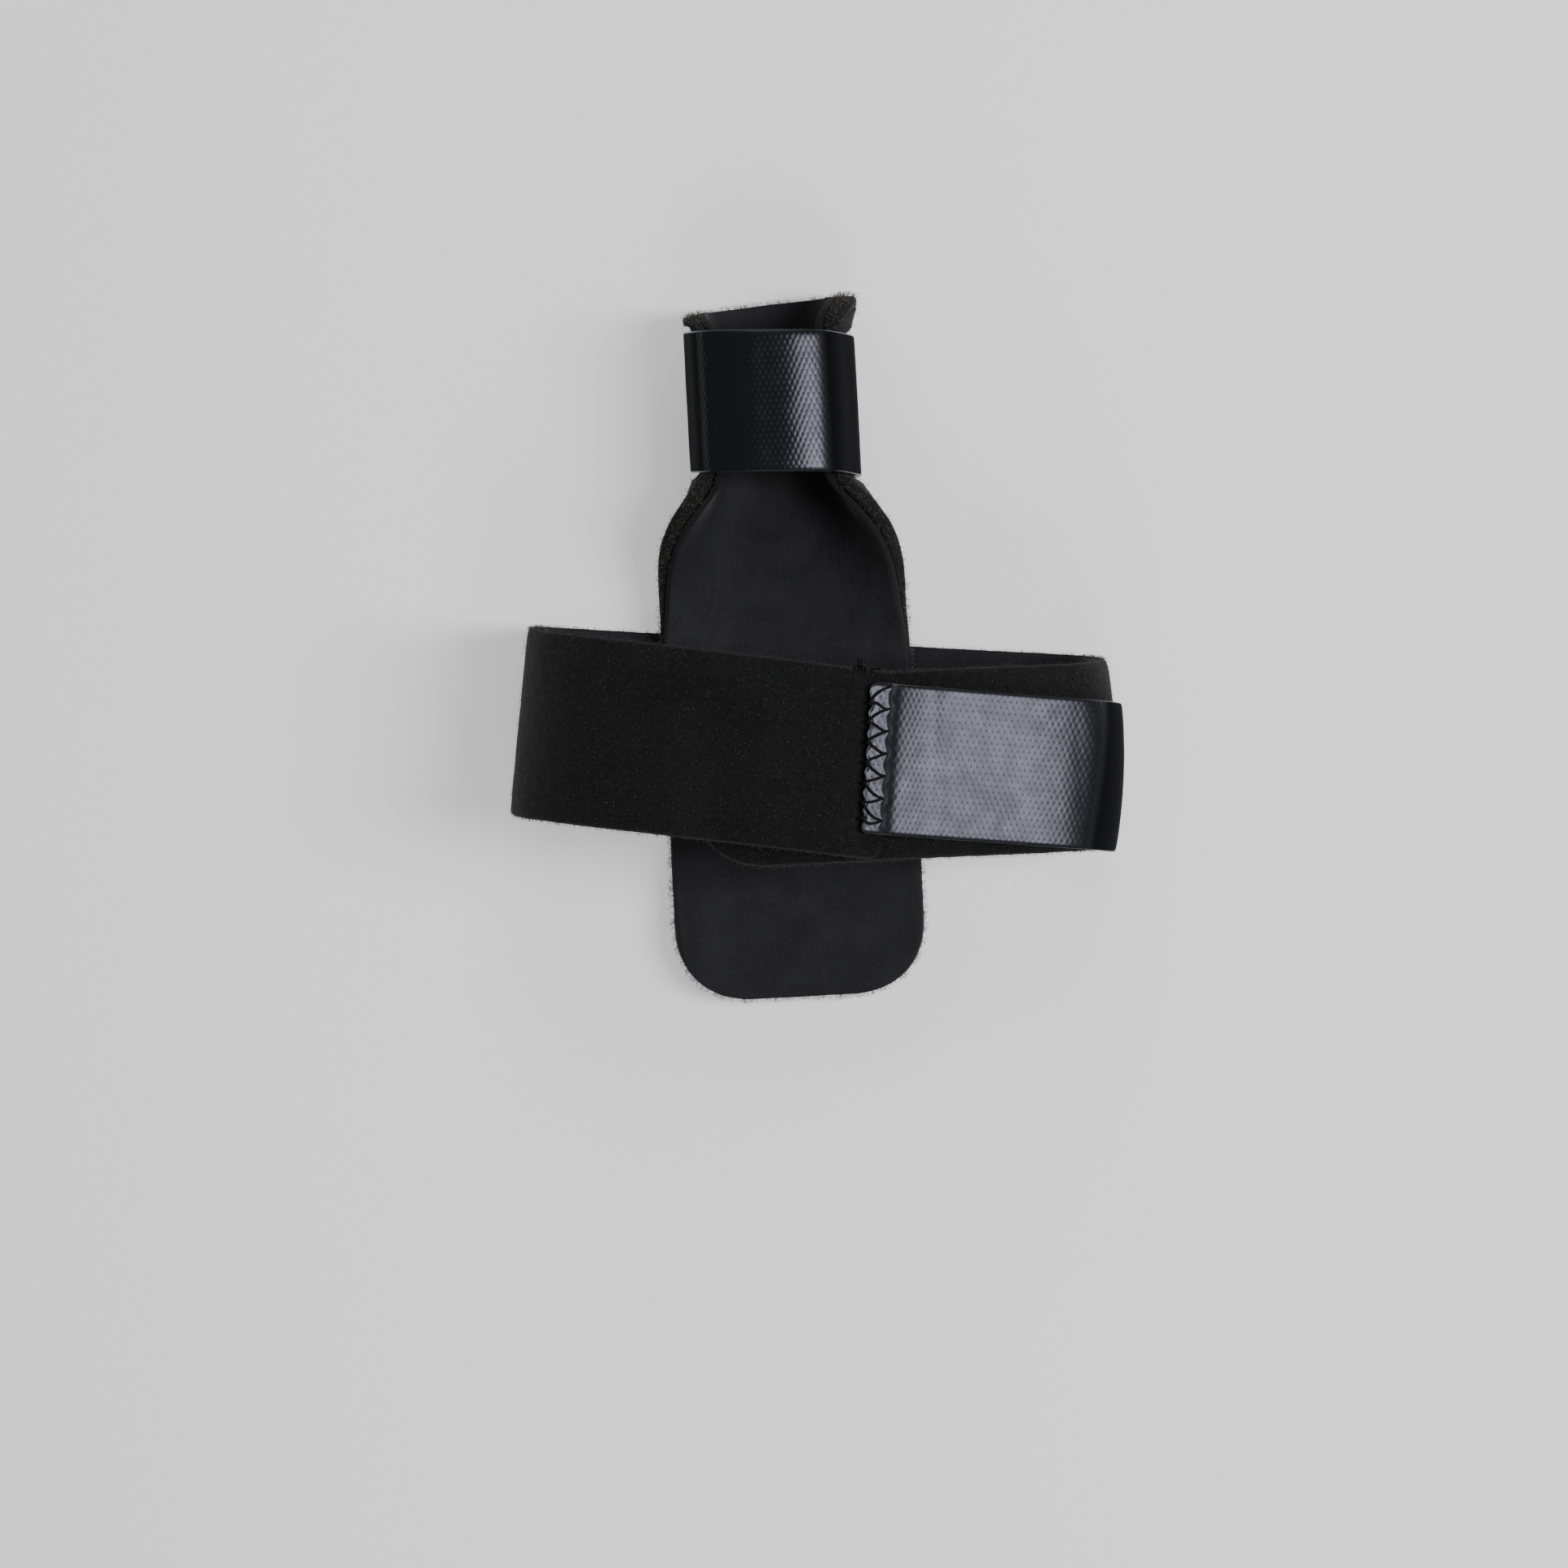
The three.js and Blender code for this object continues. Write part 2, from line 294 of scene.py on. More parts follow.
def fabric_grain(material, spacing, detail=2.0, roughness=0.5):
    """A noise with that spacing in millimetres."""
    place = add_node(material, "ShaderNodeTexCoord", {}, "Object")
    return add_node(
        material,
        "ShaderNodeTexNoise",
        {"Vector": place, "Scale": 1 / (spacing * MM), "Detail": detail, "Roughness": roughness},
        "Fac",
    )


loop_fabric, shader = new_material("brushed_nylon_loop_fabric")
tufts = fabric_grain(loop_fabric, pile_tuft, 3, 0.6)
grain = fabric_grain(loop_fabric, pile_grain, 1, 0.5)
patches = fabric_grain(loop_fabric, 9)
place = add_node(loop_fabric, "ShaderNodeTexCoord", {}, "Object")
filaments = add_node(
    loop_fabric,
    "ShaderNodeTexVoronoi",
    {"Vector": place, "Scale": 1 / (filament_spacing * MM)},
    "Distance",
)
filament_colour = add_node(
    loop_fabric, "ShaderNodeSeparateColor", {"Color": filaments.node.outputs["Color"]}, "Red"
)
near_filament = add_node(
    loop_fabric, "ShaderNodeMapRange", {"Value": filaments, 1: 0.08, 2: 0.24, 3: 1.0, 4: 0.0}
)
# Painted glints: a share of the filament cells is painted bright grey in the colour, as if those
# filaments caught the light
painted_glint_share = add_node(
    loop_fabric, "ShaderNodeMapRange", {"Value": filament_colour, 1: 0.45, 2: 1.0, 3: 0.0, 4: 1.0}
)
painted_glint_specks = add_node(loop_fabric, "ShaderNodeMath", {0: near_filament, 1: painted_glint_share}, operation="MULTIPLY")
depth = add_node(loop_fabric, "ShaderNodeMath", {0: tufts, 1: grain}, operation="MULTIPLY")
shade = add_node(
    loop_fabric,
    "ShaderNodeMapRange",
    {"Value": depth, 1: 0.16, 2: 0.36, 3: 0.0, 4: 1.0},
)
pile = add_node(
    loop_fabric,
    "ShaderNodeMix",
    {0: shade, 6: linear("#060607"), 7: linear("#171718")},
    2,
    data_type="RGBA",
)
bloom = add_node(
    loop_fabric,
    "ShaderNodeMapRange",
    {"Value": patches, 1: 0.35, 2: 0.7, 3: 0.0, 4: 0.3},
)
brushed = add_node(
    loop_fabric, "ShaderNodeMix", {0: bloom, 6: pile, 7: linear("#202021")}, 2, data_type="RGBA"
)
colour_with_painted_glints = add_node(
    loop_fabric, "ShaderNodeMix", {0: painted_glint_specks, 6: brushed, 7: linear("#636365")}, 2, data_type="RGBA"
)
relief = add_node(
    loop_fabric,
    "ShaderNodeBump",
    {"Height": depth, "Strength": 0.9, "Distance": 0.35 * MM},
)
join(
    loop_fabric,
    shader,
    {
        "Base Color": colour_with_painted_glints,
        "Normal": relief,
        "Roughness": 0.95,
        "Specular IOR Level": 0.25,
        "Sheen Weight": 0.12,
        "Sheen Roughness": 0.5,
        "Sheen Tint": linear("#b4b4b6"),
    },
)

# Cut edge: open-cell foam between the two fabrics, dull black with fine pores
cut_foam, shader = new_material("cut_black_foam")
pores = fabric_grain(cut_foam, 0.3, 3, 0.7)
foam = add_node(
    cut_foam,
    "ShaderNodeMix",
    {0: pores, 6: linear("#070708"), 7: linear("#1a1a1b")},
    2,
    data_type="RGBA",
)
relief = add_node(
    cut_foam,
    "ShaderNodeBump",
    {"Height": pores, "Strength": 0.8, "Distance": 0.2 * MM},
)
join(cut_foam, shader, {"Base Color": foam, "Normal": relief, "Roughness": 0.95})

front_side = 0  # the side of a layer that shows
back_side = 1
cut_side = 2
layer_crease = 0.42
brushed_unevenness = [(6, 0.12), (1.5, 0.1)]
cover_faces = [(0, 44, 1.2), (0, 44, 2.6)]  # on its front and its back
cover_thickness = 1.4
cover_swelling = 1.5  # beside the finger tape
palm_swelling = 0.6
swelling_change = (20, 34)  # the swelling goes from the palm's to the finger's over these
held_within = 0.35  # the foam is held flat this close to a band
bulged_by = 1.2  # most of the swelling is reached here
bulge_share = 0.65
full_by = 4  # and all of it here
lying_heights = (1.5, 6)  # it lies flat on the palm side
corner_swelling = 0.75  # the left corner is the shorter one
left_from = (7, 10)  # it begins over these to the left
tip_from = (52, 54)  # and over these along the trough
mouth_crown = 0.7  # the finger end is cut slightly round
mouth_crowned = (50, 57)  # the crown grows over these, along the trough
mouth_half_width = 14
mouth_corners = 20  # the way between its two corners
wings_from = 8  # what lies further out is a wing
corner_radius = 2.0
corners_from = (6.5, 12)  # the corners are rounded from here outwards

finger_band = surface_of(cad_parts["finger_strap"].data)
palm_band = surface_of(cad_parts["palm_strap"].data)


def shape_mouth(piece):
    """Lets the middle of the finger end reach further, and rounds its corners."""
    points = points_of(piece)
    x, y = points[:, 0] / MM, points[:, 1] / MM
    right_end = y[x > wings_from].max()
    left_end = y[x < -wings_from].max()
    end = (right_end + left_end) / 2 + (right_end - left_end) * x / mouth_corners
    share = np.clip(1 - (end - y) / corner_radius, 0, 1)
    inward = corner_radius * (1 - np.sqrt(1 - share * share)) * smooth(np.abs(x), *corners_from)
    across = np.clip(1 - (x / mouth_half_width) ** 2, 0, 1)
    points[:, 0] -= np.sign(x) * inward * MM
    points[:, 1] += mouth_crown * MM * across * smooth(y, *mouth_crowned)
    put_points(piece, points)


cover = layer_of("outer_cover", "padded_trough_cover")
dress_sides(cover, cover_faces, [loop_fabric, cut_foam, cut_foam])
crease_edges(cover, layer_crease)
subdivide(cover, 2)
points = points_of(cover)
from_band = np.minimum(distance_to(finger_band, points), distance_to(palm_band, points))
loose = bulge_share * smooth(from_band, held_within * MM, bulged_by * MM)
loose = loose + (1 - bulge_share) * smooth(from_band, held_within * MM, full_by * MM)
loose *= smooth(points[:, 2], lying_heights[0] * MM, lying_heights[1] * MM)
on_left = smooth(-points[:, 0], left_from[0] * MM, left_from[1] * MM)
on_left *= smooth(points[:, 1], tip_from[0] * MM, tip_from[1] * MM)
loose *= 1 - (1 - corner_swelling) * on_left
at_finger = smooth(points[:, 1], swelling_change[0] * MM, swelling_change[1] * MM)
swelling = palm_swelling + (cover_swelling - palm_swelling) * at_finger
swell(cover, back_side, loose * swelling / cover_thickness)
shape_mouth(cover)
roughen(cover, brushed_unevenness)
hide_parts("outer_cover")
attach(cover, "root")


# Padded trough, inner lining. A smooth black warp-knit on thin foam, glued into the cover, which lies
# against the finger and shows inside the wings.
knit_loop = 0.45
lining_faces = [(0, 44, 3.9), (0, 44, 2.9)]  # the front faces the finger
glue_gap = 0.28  # a share of its thickness, by which it grows towards the cover

lining_fabric, shader = new_material("smooth_warp_knit_lining")
place = add_node(lining_fabric, "ShaderNodeTexCoord", {}, "Object")
loops = add_node(
    lining_fabric,
    "ShaderNodeTexVoronoi",
    {"Vector": place, "Scale": 1 / (knit_loop * MM), "Randomness": 0.35},
    "Distance",
)
rubbed = fabric_grain(lining_fabric, 5)
wear = add_node(
    lining_fabric,
    "ShaderNodeMapRange",
    {"Value": rubbed, 1: 0.4, 2: 0.8, 3: 0.0, 4: 0.4},
)
knit = add_node(
    lining_fabric,
    "ShaderNodeMix",
    {0: loops, 6: linear("#242428"), 7: linear("#0a0a0c")},
    2,
    data_type="RGBA",
)
worn = add_node(
    lining_fabric,
    "ShaderNodeMix",
    {0: wear, 6: knit, 7: linear("#303034")},
    2,
    data_type="RGBA",
)
relief = add_node(
    lining_fabric,
    "ShaderNodeBump",
    {"Height": loops, "Strength": 0.5, "Distance": 0.12 * MM},
    invert=True,
)
join(
    lining_fabric,
    shader,
    {
        "Base Color": worn,
        "Normal": relief,
        "Roughness": 0.8,
        "Specular IOR Level": 0.35,
        "Sheen Weight": 0.15,
        "Sheen Roughness": 0.4,
    },
)

lining = layer_of("inner_lining", "padded_trough_lining")
dress_sides(lining, lining_faces, [lining_fabric, cut_foam, cut_foam])
crease_edges(lining, layer_crease)
subdivide(lining, 2)
swell(lining, front_side, np.full(len(lining.data.vertices), glue_gap))
shape_mouth(lining)
roughen(lining, [(6, 0.1), (1.5, 0.05)])
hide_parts("inner_lining")
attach(lining, "root")


# Tape round the finger. Woven nylon hook tape with a glossy black coating on its back, sewn under the
# trough at one end and pressed onto the trough's loop fabric at the other. Its hooks face the finger.
outer_pattern = 0.0
inner_pattern = 1.0
edge_pattern = -1.0


def lay_flat(piece, sides):
    """Unrolls the sides of a band onto its flat pattern, in metres, each side at its own height."""
    only(piece)
    piece.data.uv_layers.new(name="flat_pattern")
    bpy.ops.object.mode_set(mode="EDIT")
    shape = bmesh.from_edit_mesh(piece.data)
    pattern = shape.loops.layers.uv.active
    for face in shape.faces:
        for corner in face.loops:
            corner[pattern].uv = (0, edge_pattern)
            corner[pattern].select = True
            corner[pattern].select_edge = True
    bmesh.update_edit_mesh(piece.data)
    for place, along, height in sides:
        shape = side_of(piece, Vector(place) * MM)
        pattern = shape.loops.layers.uv.active
        start = shape.faces.active
        middle = start.calc_center_median()
        forward = Vector(along).normalized()
        across = start.normal.cross(forward)
        for corner in start.loops:
            reach = corner.vert.co - middle
            corner[pattern].uv = (reach.dot(forward), reach.dot(across) + height)
        bmesh.update_edit_mesh(piece.data)
        bpy.ops.uv.follow_active_quads(mode="LENGTH_AVERAGE")
    bpy.ops.object.mode_set(mode="OBJECT")


class Pattern:
    """A finished band, for finding the places on it that lie at places on its flat pattern."""

    def __init__(self, piece):
        self.mesh = piece.data
        self.mesh.calc_loop_triangles()
        self.flat = [Vector((*corner.vector, 0)) for corner in self.mesh.uv_layers["flat_pattern"].uv]
        self.triangles = [tuple(triangle.loops) for triangle in self.mesh.loop_triangles]
        self.sheet = BVHTree.FromPolygons(self.flat, self.triangles)

    def reach(self, height):
        """The lowest and highest place along the pattern, on the side at that height."""
        along = [spot.x for spot in self.flat if abs(spot.y - height) < 0.1]
        return min(along), max(along)

    def at(self, along, across):
        """The place on the band, and the way out of it there."""
        spot = Vector((along, across, 0))
        number = self.sheet.find_nearest(spot)[2]
        triangle = self.mesh.loop_triangles[number]
        flat = [self.flat[corner] for corner in triangle.loops]
        solid = [self.mesh.vertices[corner].co for corner in triangle.vertices]
        return barycentric_transform(spot, *flat, *solid), triangle.normal.copy()


# Coated woven nylon: the weave stands up in staggered cells under a glossy film, so the softbox shows
# as rows of bright cells with dark dots between them
weft_pitch = 0.79
warp_pitch = 0.77
selvedge_width = 0.7
selvedge_rim = 0.4
rubbed_over = 2.5  # the coating turns dull over this length


def coated_weave(name, half_width, rubbed_from, relief_height, smoothest):
    """The tape's material. The weave ends in a selvedge at half the tape's width. The coating is at
    least as rough as said, and is rubbed dull from a distance along the tape, where the neighbouring
    fingers touch it."""
    material, shader = new_material(name)
    pattern = add_node(material, "ShaderNodeUVMap", {}, uv_map="flat_pattern")
    along = add_node(material, "ShaderNodeSeparateXYZ", {0: pattern}, "X")
    across = along.node.outputs["Y"]
    wander = add_node(
        material, "ShaderNodeMath", {0: fabric_grain(material, 3, 1), 1: 0.5}, operation="MULTIPLY"
    )
    weft = add_node(
        material,
        "ShaderNodeMath",
        {0: along, 1: 2 * pi / (weft_pitch * MM), 2: wander},
        operation="MULTIPLY_ADD",
    )
    warp = add_node(
        material,
        "ShaderNodeMath",
        {0: across, 1: pi / (warp_pitch * MM), 2: wander},
        operation="MULTIPLY_ADD",
    )
    weft = add_node(material, "ShaderNodeMath", {0: weft}, operation="COSINE")
    warp = add_node(material, "ShaderNodeMath", {0: warp}, operation="COSINE")
    cells = add_node(material, "ShaderNodeMath", {0: weft, 1: warp}, operation="MULTIPLY")
    cells = add_node(material, "ShaderNodeMapRange", {"Value": cells, 1: -1.0, 2: 1.0, 3: 0.0, 4: 1.0})
    cells = add_node(material, "ShaderNodeMath", {0: cells, 1: 0.6}, operation="POWER")
    from_middle = add_node(material, "ShaderNodeMath", {0: across}, operation="ABSOLUTE")
    selvedge = add_node(
        material,
        "ShaderNodeMapRange",
        {
            "Value": from_middle,
            1: (half_width - selvedge_width) * MM,
            2: (half_width - selvedge_rim) * MM,
            3: 0.0,
            4: 1.0,
        },
    )
    scallops = add_node(
        material, "ShaderNodeMapRange", {"Value": weft, 1: -1.0, 2: 1.0, 3: 0.4, 4: 1.0}
    )
    height = add_node(
        material, "ShaderNodeMix", {0: selvedge, 2: cells, 3: scallops}, 0, data_type="FLOAT"
    )
    dots = add_node(material, "ShaderNodeMapRange", {"Value": height, 1: 0.0, 2: 0.45, 3: 0.0, 4: 1.0})
    # The film's colour is painted darker in the dots between the raised cells, a painted shade in the
    # weave's hollows
    film_with_painted_gap_shade = add_node(
        material,
        "ShaderNodeMix",
        {0: dots, 6: linear("#040405"), 7: linear("#0f0f11")},
        2,
        data_type="RGBA",
    )
    smears = fabric_grain(material, 2.2, 4, 0.6)
    gloss = add_node(
        material,
        "ShaderNodeMapRange",
        {"Value": smears, 1: 0.3, 2: 0.7, 3: smoothest, 4: smoothest + 0.08},
    )
    pitted = add_node(material, "ShaderNodeMapRange", {"Value": dots, 1: 0.0, 2: 1.0, 3: 0.75, 4: 0.0})
    from_roof = add_node(material, "ShaderNodeMath", {0: along}, operation="ABSOLUTE")
    rubbed = add_node(
        material,
        "ShaderNodeMapRange",
        {"Value": from_roof, 1: rubbed_from * MM, 2: (rubbed_from + rubbed_over) * MM, 3: 0.0, 4: 0.8},
    )
    dull = add_node(material, "ShaderNodeMath", {0: pitted, 1: rubbed}, operation="MAXIMUM")
    roughness = add_node(material, "ShaderNodeMath", {0: gloss, 1: dull}, operation="MAXIMUM")
    shine = add_node(material, "ShaderNodeMapRange", {"Value": rubbed, 1: 0.0, 2: 0.8, 3: 0.5, 4: 0.05})
    relief = add_node(
        material,
        "ShaderNodeBump",
        {"Height": height, "Strength": 1.0, "Distance": relief_height * MM},
    )
    join(
        material,
        shader,
        {
            "Base Color": film_with_painted_gap_shade,
            "Roughness": roughness,
            "Normal": relief,
            "IOR": 1.5,
            "Specular IOR Level": shine,
            "Specular Tint": linear("#dfe3f5"),
        },
    )
    return material


finger_tape_width = 19
tape_thickness = 0.9
tape_crease = 0.5
finger_tape_gloss = coated_weave(
    "coated_woven_nylon_finger_tape",
    finger_tape_width / 2,
    rubbed_from=7,
    relief_height=0.026,
    smoothest=0.23,
)

# The tape lies flat over the finger, and turns down more tightly on the little finger's side
roof_lift = 0.66
roof_rising = (-1.5, 5.2)  # the lift grows over these to the right
roof_heights = (12, 18)  # and over these heights

finger_tape = layer_of("finger_strap", "tape_round_finger")
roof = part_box("finger_strap")[1].z / MM
roof_middle = (-1.2, 44.3, roof)
under_roof = (-1.2, 44.3, roof - tape_thickness)
lay_flat(
    finger_tape, [(roof_middle, (1, 0, 0), outer_pattern), (under_roof, (1, 0, 0), inner_pattern)]
)
dress_sides(finger_tape, [roof_middle], [finger_tape_gloss, finger_tape_gloss])
crease_edges(finger_tape, tape_crease)
subdivide(finger_tape, 3)
points = points_of(finger_tape)
lift = smooth(points[:, 0], roof_rising[0] * MM, roof_rising[1] * MM)
lift = lift * smooth(points[:, 2], roof_heights[0] * MM, roof_heights[1] * MM)
points[:, 2] += roof_lift * MM * lift
put_points(finger_tape, points)
roughen(finger_tape, [(5, 0.08)])
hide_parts("finger_strap")
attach(finger_tape, "root")


# Hooks of the finger tape. Nylon loops cut open into hooks, in staggered rows on the side that faces
# the finger.
def stalk(name, sides, radius, leg, turns, thinning):
    """A model for planting: a thin rod on the origin that bends by an angle after each leg."""
    bpy.ops.object.select_all(action="DESELECT")
    bpy.ops.mesh.primitive_circle_add(vertices=sides, radius=radius * MM, fill_type="NGON")
    model = bpy.context.object
    model.name = name
    bpy.ops.object.mode_set(mode="EDIT")
    bpy.ops.mesh.select_all(action="SELECT")
    heading = Vector((0, 0, 1))
    foot = Vector((0, 0, 0))
    for turn in turns:
        foot += heading * leg * MM
        bpy.ops.mesh.extrude_region_move(TRANSFORM_OT_translate={"value": heading * leg * MM})
        bpy.ops.transform.resize(value=(thinning, thinning, thinning), center_override=foot)
        bpy.ops.transform.rotate(value=-turn, orient_axis="Y", center_override=foot)
        heading.rotate(Matrix.Rotation(turn, 3, "Y"))
    bpy.ops.mesh.select_all(action="SELECT")
    bpy.ops.mesh.normals_make_consistent(inside=False)
    bpy.ops.object.mode_set(mode="OBJECT")
    return model


def planted(model, places, name, material):
    """Copies of a model in one mesh, one at each place with its way out, its turn and its size."""
    shape = points_of(model)
    corners = [tuple(face.vertices) for face in model.data.polygons]
    points = []
    for place, out, turn, size in places:
        stance = Vector(out).to_track_quat("Z", "Y").to_matrix() @ Matrix.Rotation(turn, 3, "Z")
        points.append(shape @ np.array(stance).T * size + np.array(place))
    faces = [
        tuple(corner + number * len(shape) for corner in face)
        for number in range(len(places))
        for face in corners
    ]
    mesh = bpy.data.meshes.new(name)
    mesh.from_pydata(np.concatenate(points), [], faces)
    mesh.materials.append(material)
    piece = bpy.data.objects.new(name, mesh)
    bpy.context.collection.objects.link(piece)
    bpy.data.objects.remove(model)
    only(piece)
    bpy.ops.object.shade_smooth()
    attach(piece, "root")


# Bare nylon: black and glossy, so each hook has a small bright line
nylon_hooks, shader = new_material("black_nylon_hook_filament")
polish = add_node(
    nylon_hooks,
    "ShaderNodeMapRange",
    {"Value": fabric_grain(nylon_hooks, 0.6), 1: 0.3, 2: 0.7, 3: 0.25, 4: 0.5},
)
join(nylon_hooks, shader, {"Base Color": linear("#0b0b0c"), "Roughness": polish})

chance = np.random.default_rng(19)
hook_spacing = 1.2
hook_rows = np.arange(-7.2, 7.3, hook_spacing)
hook_columns = np.arange(-8.4, 8.5, hook_spacing)
pattern = Pattern(finger_tape)
places = []
for row, across in enumerate(hook_columns):
    for along in hook_rows + hook_spacing / 2 * (row % 2):
        spot = (along + chance.normal(0, 0.1), across + chance.normal(0, 0.08))
        place, out = pattern.at(spot[0] * MM, spot[1] * MM + inner_pattern)
        turn = chance.choice((0, pi)) + chance.normal(0, 0.3)
        places.append((place, out, turn, chance.uniform(0.85, 1.1)))
hook_turns = (0, radians(40), radians(70), radians(50))
hook = stalk("hook", sides=5, radius=0.09, leg=0.24, turns=hook_turns, thinning=0.97)
planted(hook, places, "finger_tape_hooks", nylon_hooks)


# Strap round the hand. The same loop fabric on 2 mm foam, 25 mm wide, sewn on under the trough. The
# lower arm passes the little finger's side, and the upper arm lies on it. The tab's seam squeezes the
# upper arm's end.
strap_thickness = 2.2
strap_crease = 0.4
across_strap = 20  # only the edges across it are longer
strap_cuts = 26

strap = layer_of("palm_strap", "strap_round_hand")
only(strap)
bpy.ops.object.mode_set(mode="EDIT")
bpy.ops.mesh.select_mode(type="EDGE")
bpy.ops.mesh.select_all(action="DESELECT")
shape = bmesh.from_edit_mesh(strap.data)
for edge in shape.edges:
    edge.select = edge.calc_length() > across_strap * MM
bmesh.update_edit_mesh(strap.data)
bpy.ops.mesh.subdivide(number_cuts=strap_cuts)
bpy.ops.mesh.select_mode(type="FACE")
bpy.ops.object.mode_set(mode="OBJECT")
dress_sides(strap, [(0, 0, 0), (0, 0, strap_thickness)], [loop_fabric, lining_fabric, cut_foam])
crease_edges(strap, strap_crease)
subdivide(strap, 3)
roughen(strap, brushed_unevenness)
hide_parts("palm_strap")
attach(strap, "root")


# Hook tab. Coated hook tape 20 mm wide, zigzag-sewn on the upper arm's end. It comes down onto the
# lower arm straight after the seam, and closes round the little finger's side.
tab_width = 20
band_gap = 0.3
tab_turn = radians(-7.2)  # the tab's direction on the back of the hand
seam_width = 2.7
seam_press = 0.6
seam_reach = 1.9  # how far the press reaches back from the seam's middle, where there is no tab
fall_length = 2.6  # the tab falls by most of its height over this
cad_fall = (4, 11)  # where the CAD tab comes down, from its sewn end
back_heights = (20, 26)  # above these it lies on the back of the hand
lower_arm_from = 8  # what lies further from the sewn end isn't the upper arm
shoulder_drop = 0.9  # both bands round off before the little finger's side
shoulder = (30, 39)  # the drop grows over these to the right
side_heights = (10, 22)  # and over these heights
side_bulge = 0.7  # and bulge there in the middle of their width
side_from = (38, 42)  # the bulge grows over these to the right
side_middle = -6
side_half_width = 10
tab_gloss = coated_weave(
    "coated_woven_nylon_tab", tab_width / 2, rubbed_from=26, relief_height=0.02, smoothest=0.28
)

tab = layer_of("palm_hook_tab", "tab_on_strap")
tab_middle = (14.0, -5.0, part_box("palm_hook_tab")[1].z / MM)
lay_flat(tab, [(tab_middle, (cos(tab_turn), sin(tab_turn), 0), outer_pattern)])
dress_sides(tab, [tab_middle], [tab_gloss, tab_gloss])
crease_edges(tab, tape_crease)
subdivide(tab, 3)

tab_forward = np.array((cos(tab_turn), sin(tab_turn), 0))
tab_points = points_of(tab)
sewn_end = (tab_points @ tab_forward).min()
tab_lift = strap_thickness + band_gap
from_end = (tab_points @ tab_forward - sewn_end) / MM
on_back = smooth(tab_points[:, 2], back_heights[0] * MM, back_heights[1] * MM)
in_cad = 1 - smooth(from_end, *cad_fall)
past_seam = np.exp(-(from_end - seam_width) / fall_length)
sewn_down = np.where(from_end > seam_width, past_seam, 1)
tab_points[:, 2] -= tab_lift * MM * (in_cad - sewn_down) * on_back

pattern = Pattern(tab)
first_along = pattern.reach(outer_pattern)[0]
seam_place, seam_normal = pattern.at(first_along + seam_width / 2 * MM, 0)
seam_out = np.array(seam_normal)
strap_top = np.array(seam_place) - seam_out * (tape_thickness + band_gap) * MM


def squeeze(points, fading):
    """Presses down what lies at the seam, as far as the upper arm's inner side, which stays. Past the
    seam the press fades as given."""
    along = (points @ tab_forward - sewn_end) / MM - seam_width / 2
    above = (points - strap_top) @ seam_out / MM
    share = np.clip(1 + above / strap_thickness, 0, 1)
    near = np.exp(-((np.minimum(along, 0) / seam_reach) ** 2)) * fading
    return points - seam_out * (seam_press * MM * share * near)[:, None]


def round_side(points):
    """Rounds the bands where they turn down beside the little finger."""
    x, y, z = (points / MM).T
    drop = shoulder_drop * smooth(x, *shoulder) * smooth(z, *side_heights)
    across = (y - side_middle) / side_half_width
    bulge = side_bulge * np.clip(1 - across**2, -1, 1) * smooth(x, *side_from)
    return points + np.stack((bulge, 0 * x, -drop), axis=1) * MM


strap_points = points_of(strap)
past_end = (strap_points @ tab_forward - sewn_end) / MM > lower_arm_from
put_points(tab, round_side(squeeze(tab_points, sewn_down * on_back)))
put_points(strap, round_side(squeeze(strap_points, np.where(past_end, 0, 1))))
roughen(tab, [(7, 0.12)])
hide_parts("palm_hook_tab")
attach(tab, "root")


# Seams. Black spun polyester thread, sewn in a zigzag over the cut end of each tape. It is matt, because
# light is lost between its fibres, and it draws the tape down at every hole, so the end stands up in
# lobes between the stitches.
half_stitch = 1.4
thread_radius = 0.2
hole_depth = 0.52
hole_radius = 0.8

# The thread's way at a hole, as steps towards the tape's end and out of its face: into an inner hole and
# out again, or round the cut end. Half way between two holes it stands a little above the tape.
through_tape = [(-0.35, 0.02), (0, -0.4), (0.35, 0.02)]
round_end = [(-0.3, 0.1), (0.25, -0.1), (0.15, -1.0), (0.25, -0.1)]
thread_rise = 0.14

thread_fibre, shader = new_material("spun_polyester_thread")
twist = fabric_grain(thread_fibre, 0.12, 1)
yarn = add_node(
    thread_fibre,
    "ShaderNodeMix",
    {0: twist, 6: linear("#030303"), 7: linear("#101011")},
    2,
    data_type="RGBA",
)
relief = add_node(
    thread_fibre,
    "ShaderNodeBump",
    {"Height": twist, "Strength": 0.6, "Distance": 0.05 * MM},
)
join(
    thread_fibre,
    shader,
    {"Base Color": yarn, "Normal": relief, "Roughness": 0.8, "Specular IOR Level": 0.2},
)


def thread(name, runs, radius):
    """Threads laid through points, as one mesh."""
    curve = bpy.data.curves.new(name, "CURVE")
    curve.dimensions = "3D"
    curve.bevel_depth = radius * MM
    curve.bevel_resolution = 1
    curve.resolution_u = 3
    curve.use_fill_caps = True
    for run in runs:
        spline = curve.splines.new("NURBS")
        spline.points.add(len(run) - 1)
        for point, place in zip(spline.points, run):
            point.co = (*place, 1)
        spline.order_u = 3
        spline.use_endpoint_u = True
    piece = bpy.data.objects.new(name, curve)
    bpy.context.collection.objects.link(piece)
    only(piece)
    bpy.ops.object.convert(target="MESH")
    bpy.ops.object.shade_smooth()
    piece.data.materials.append(thread_fibre)
    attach(piece, "root")


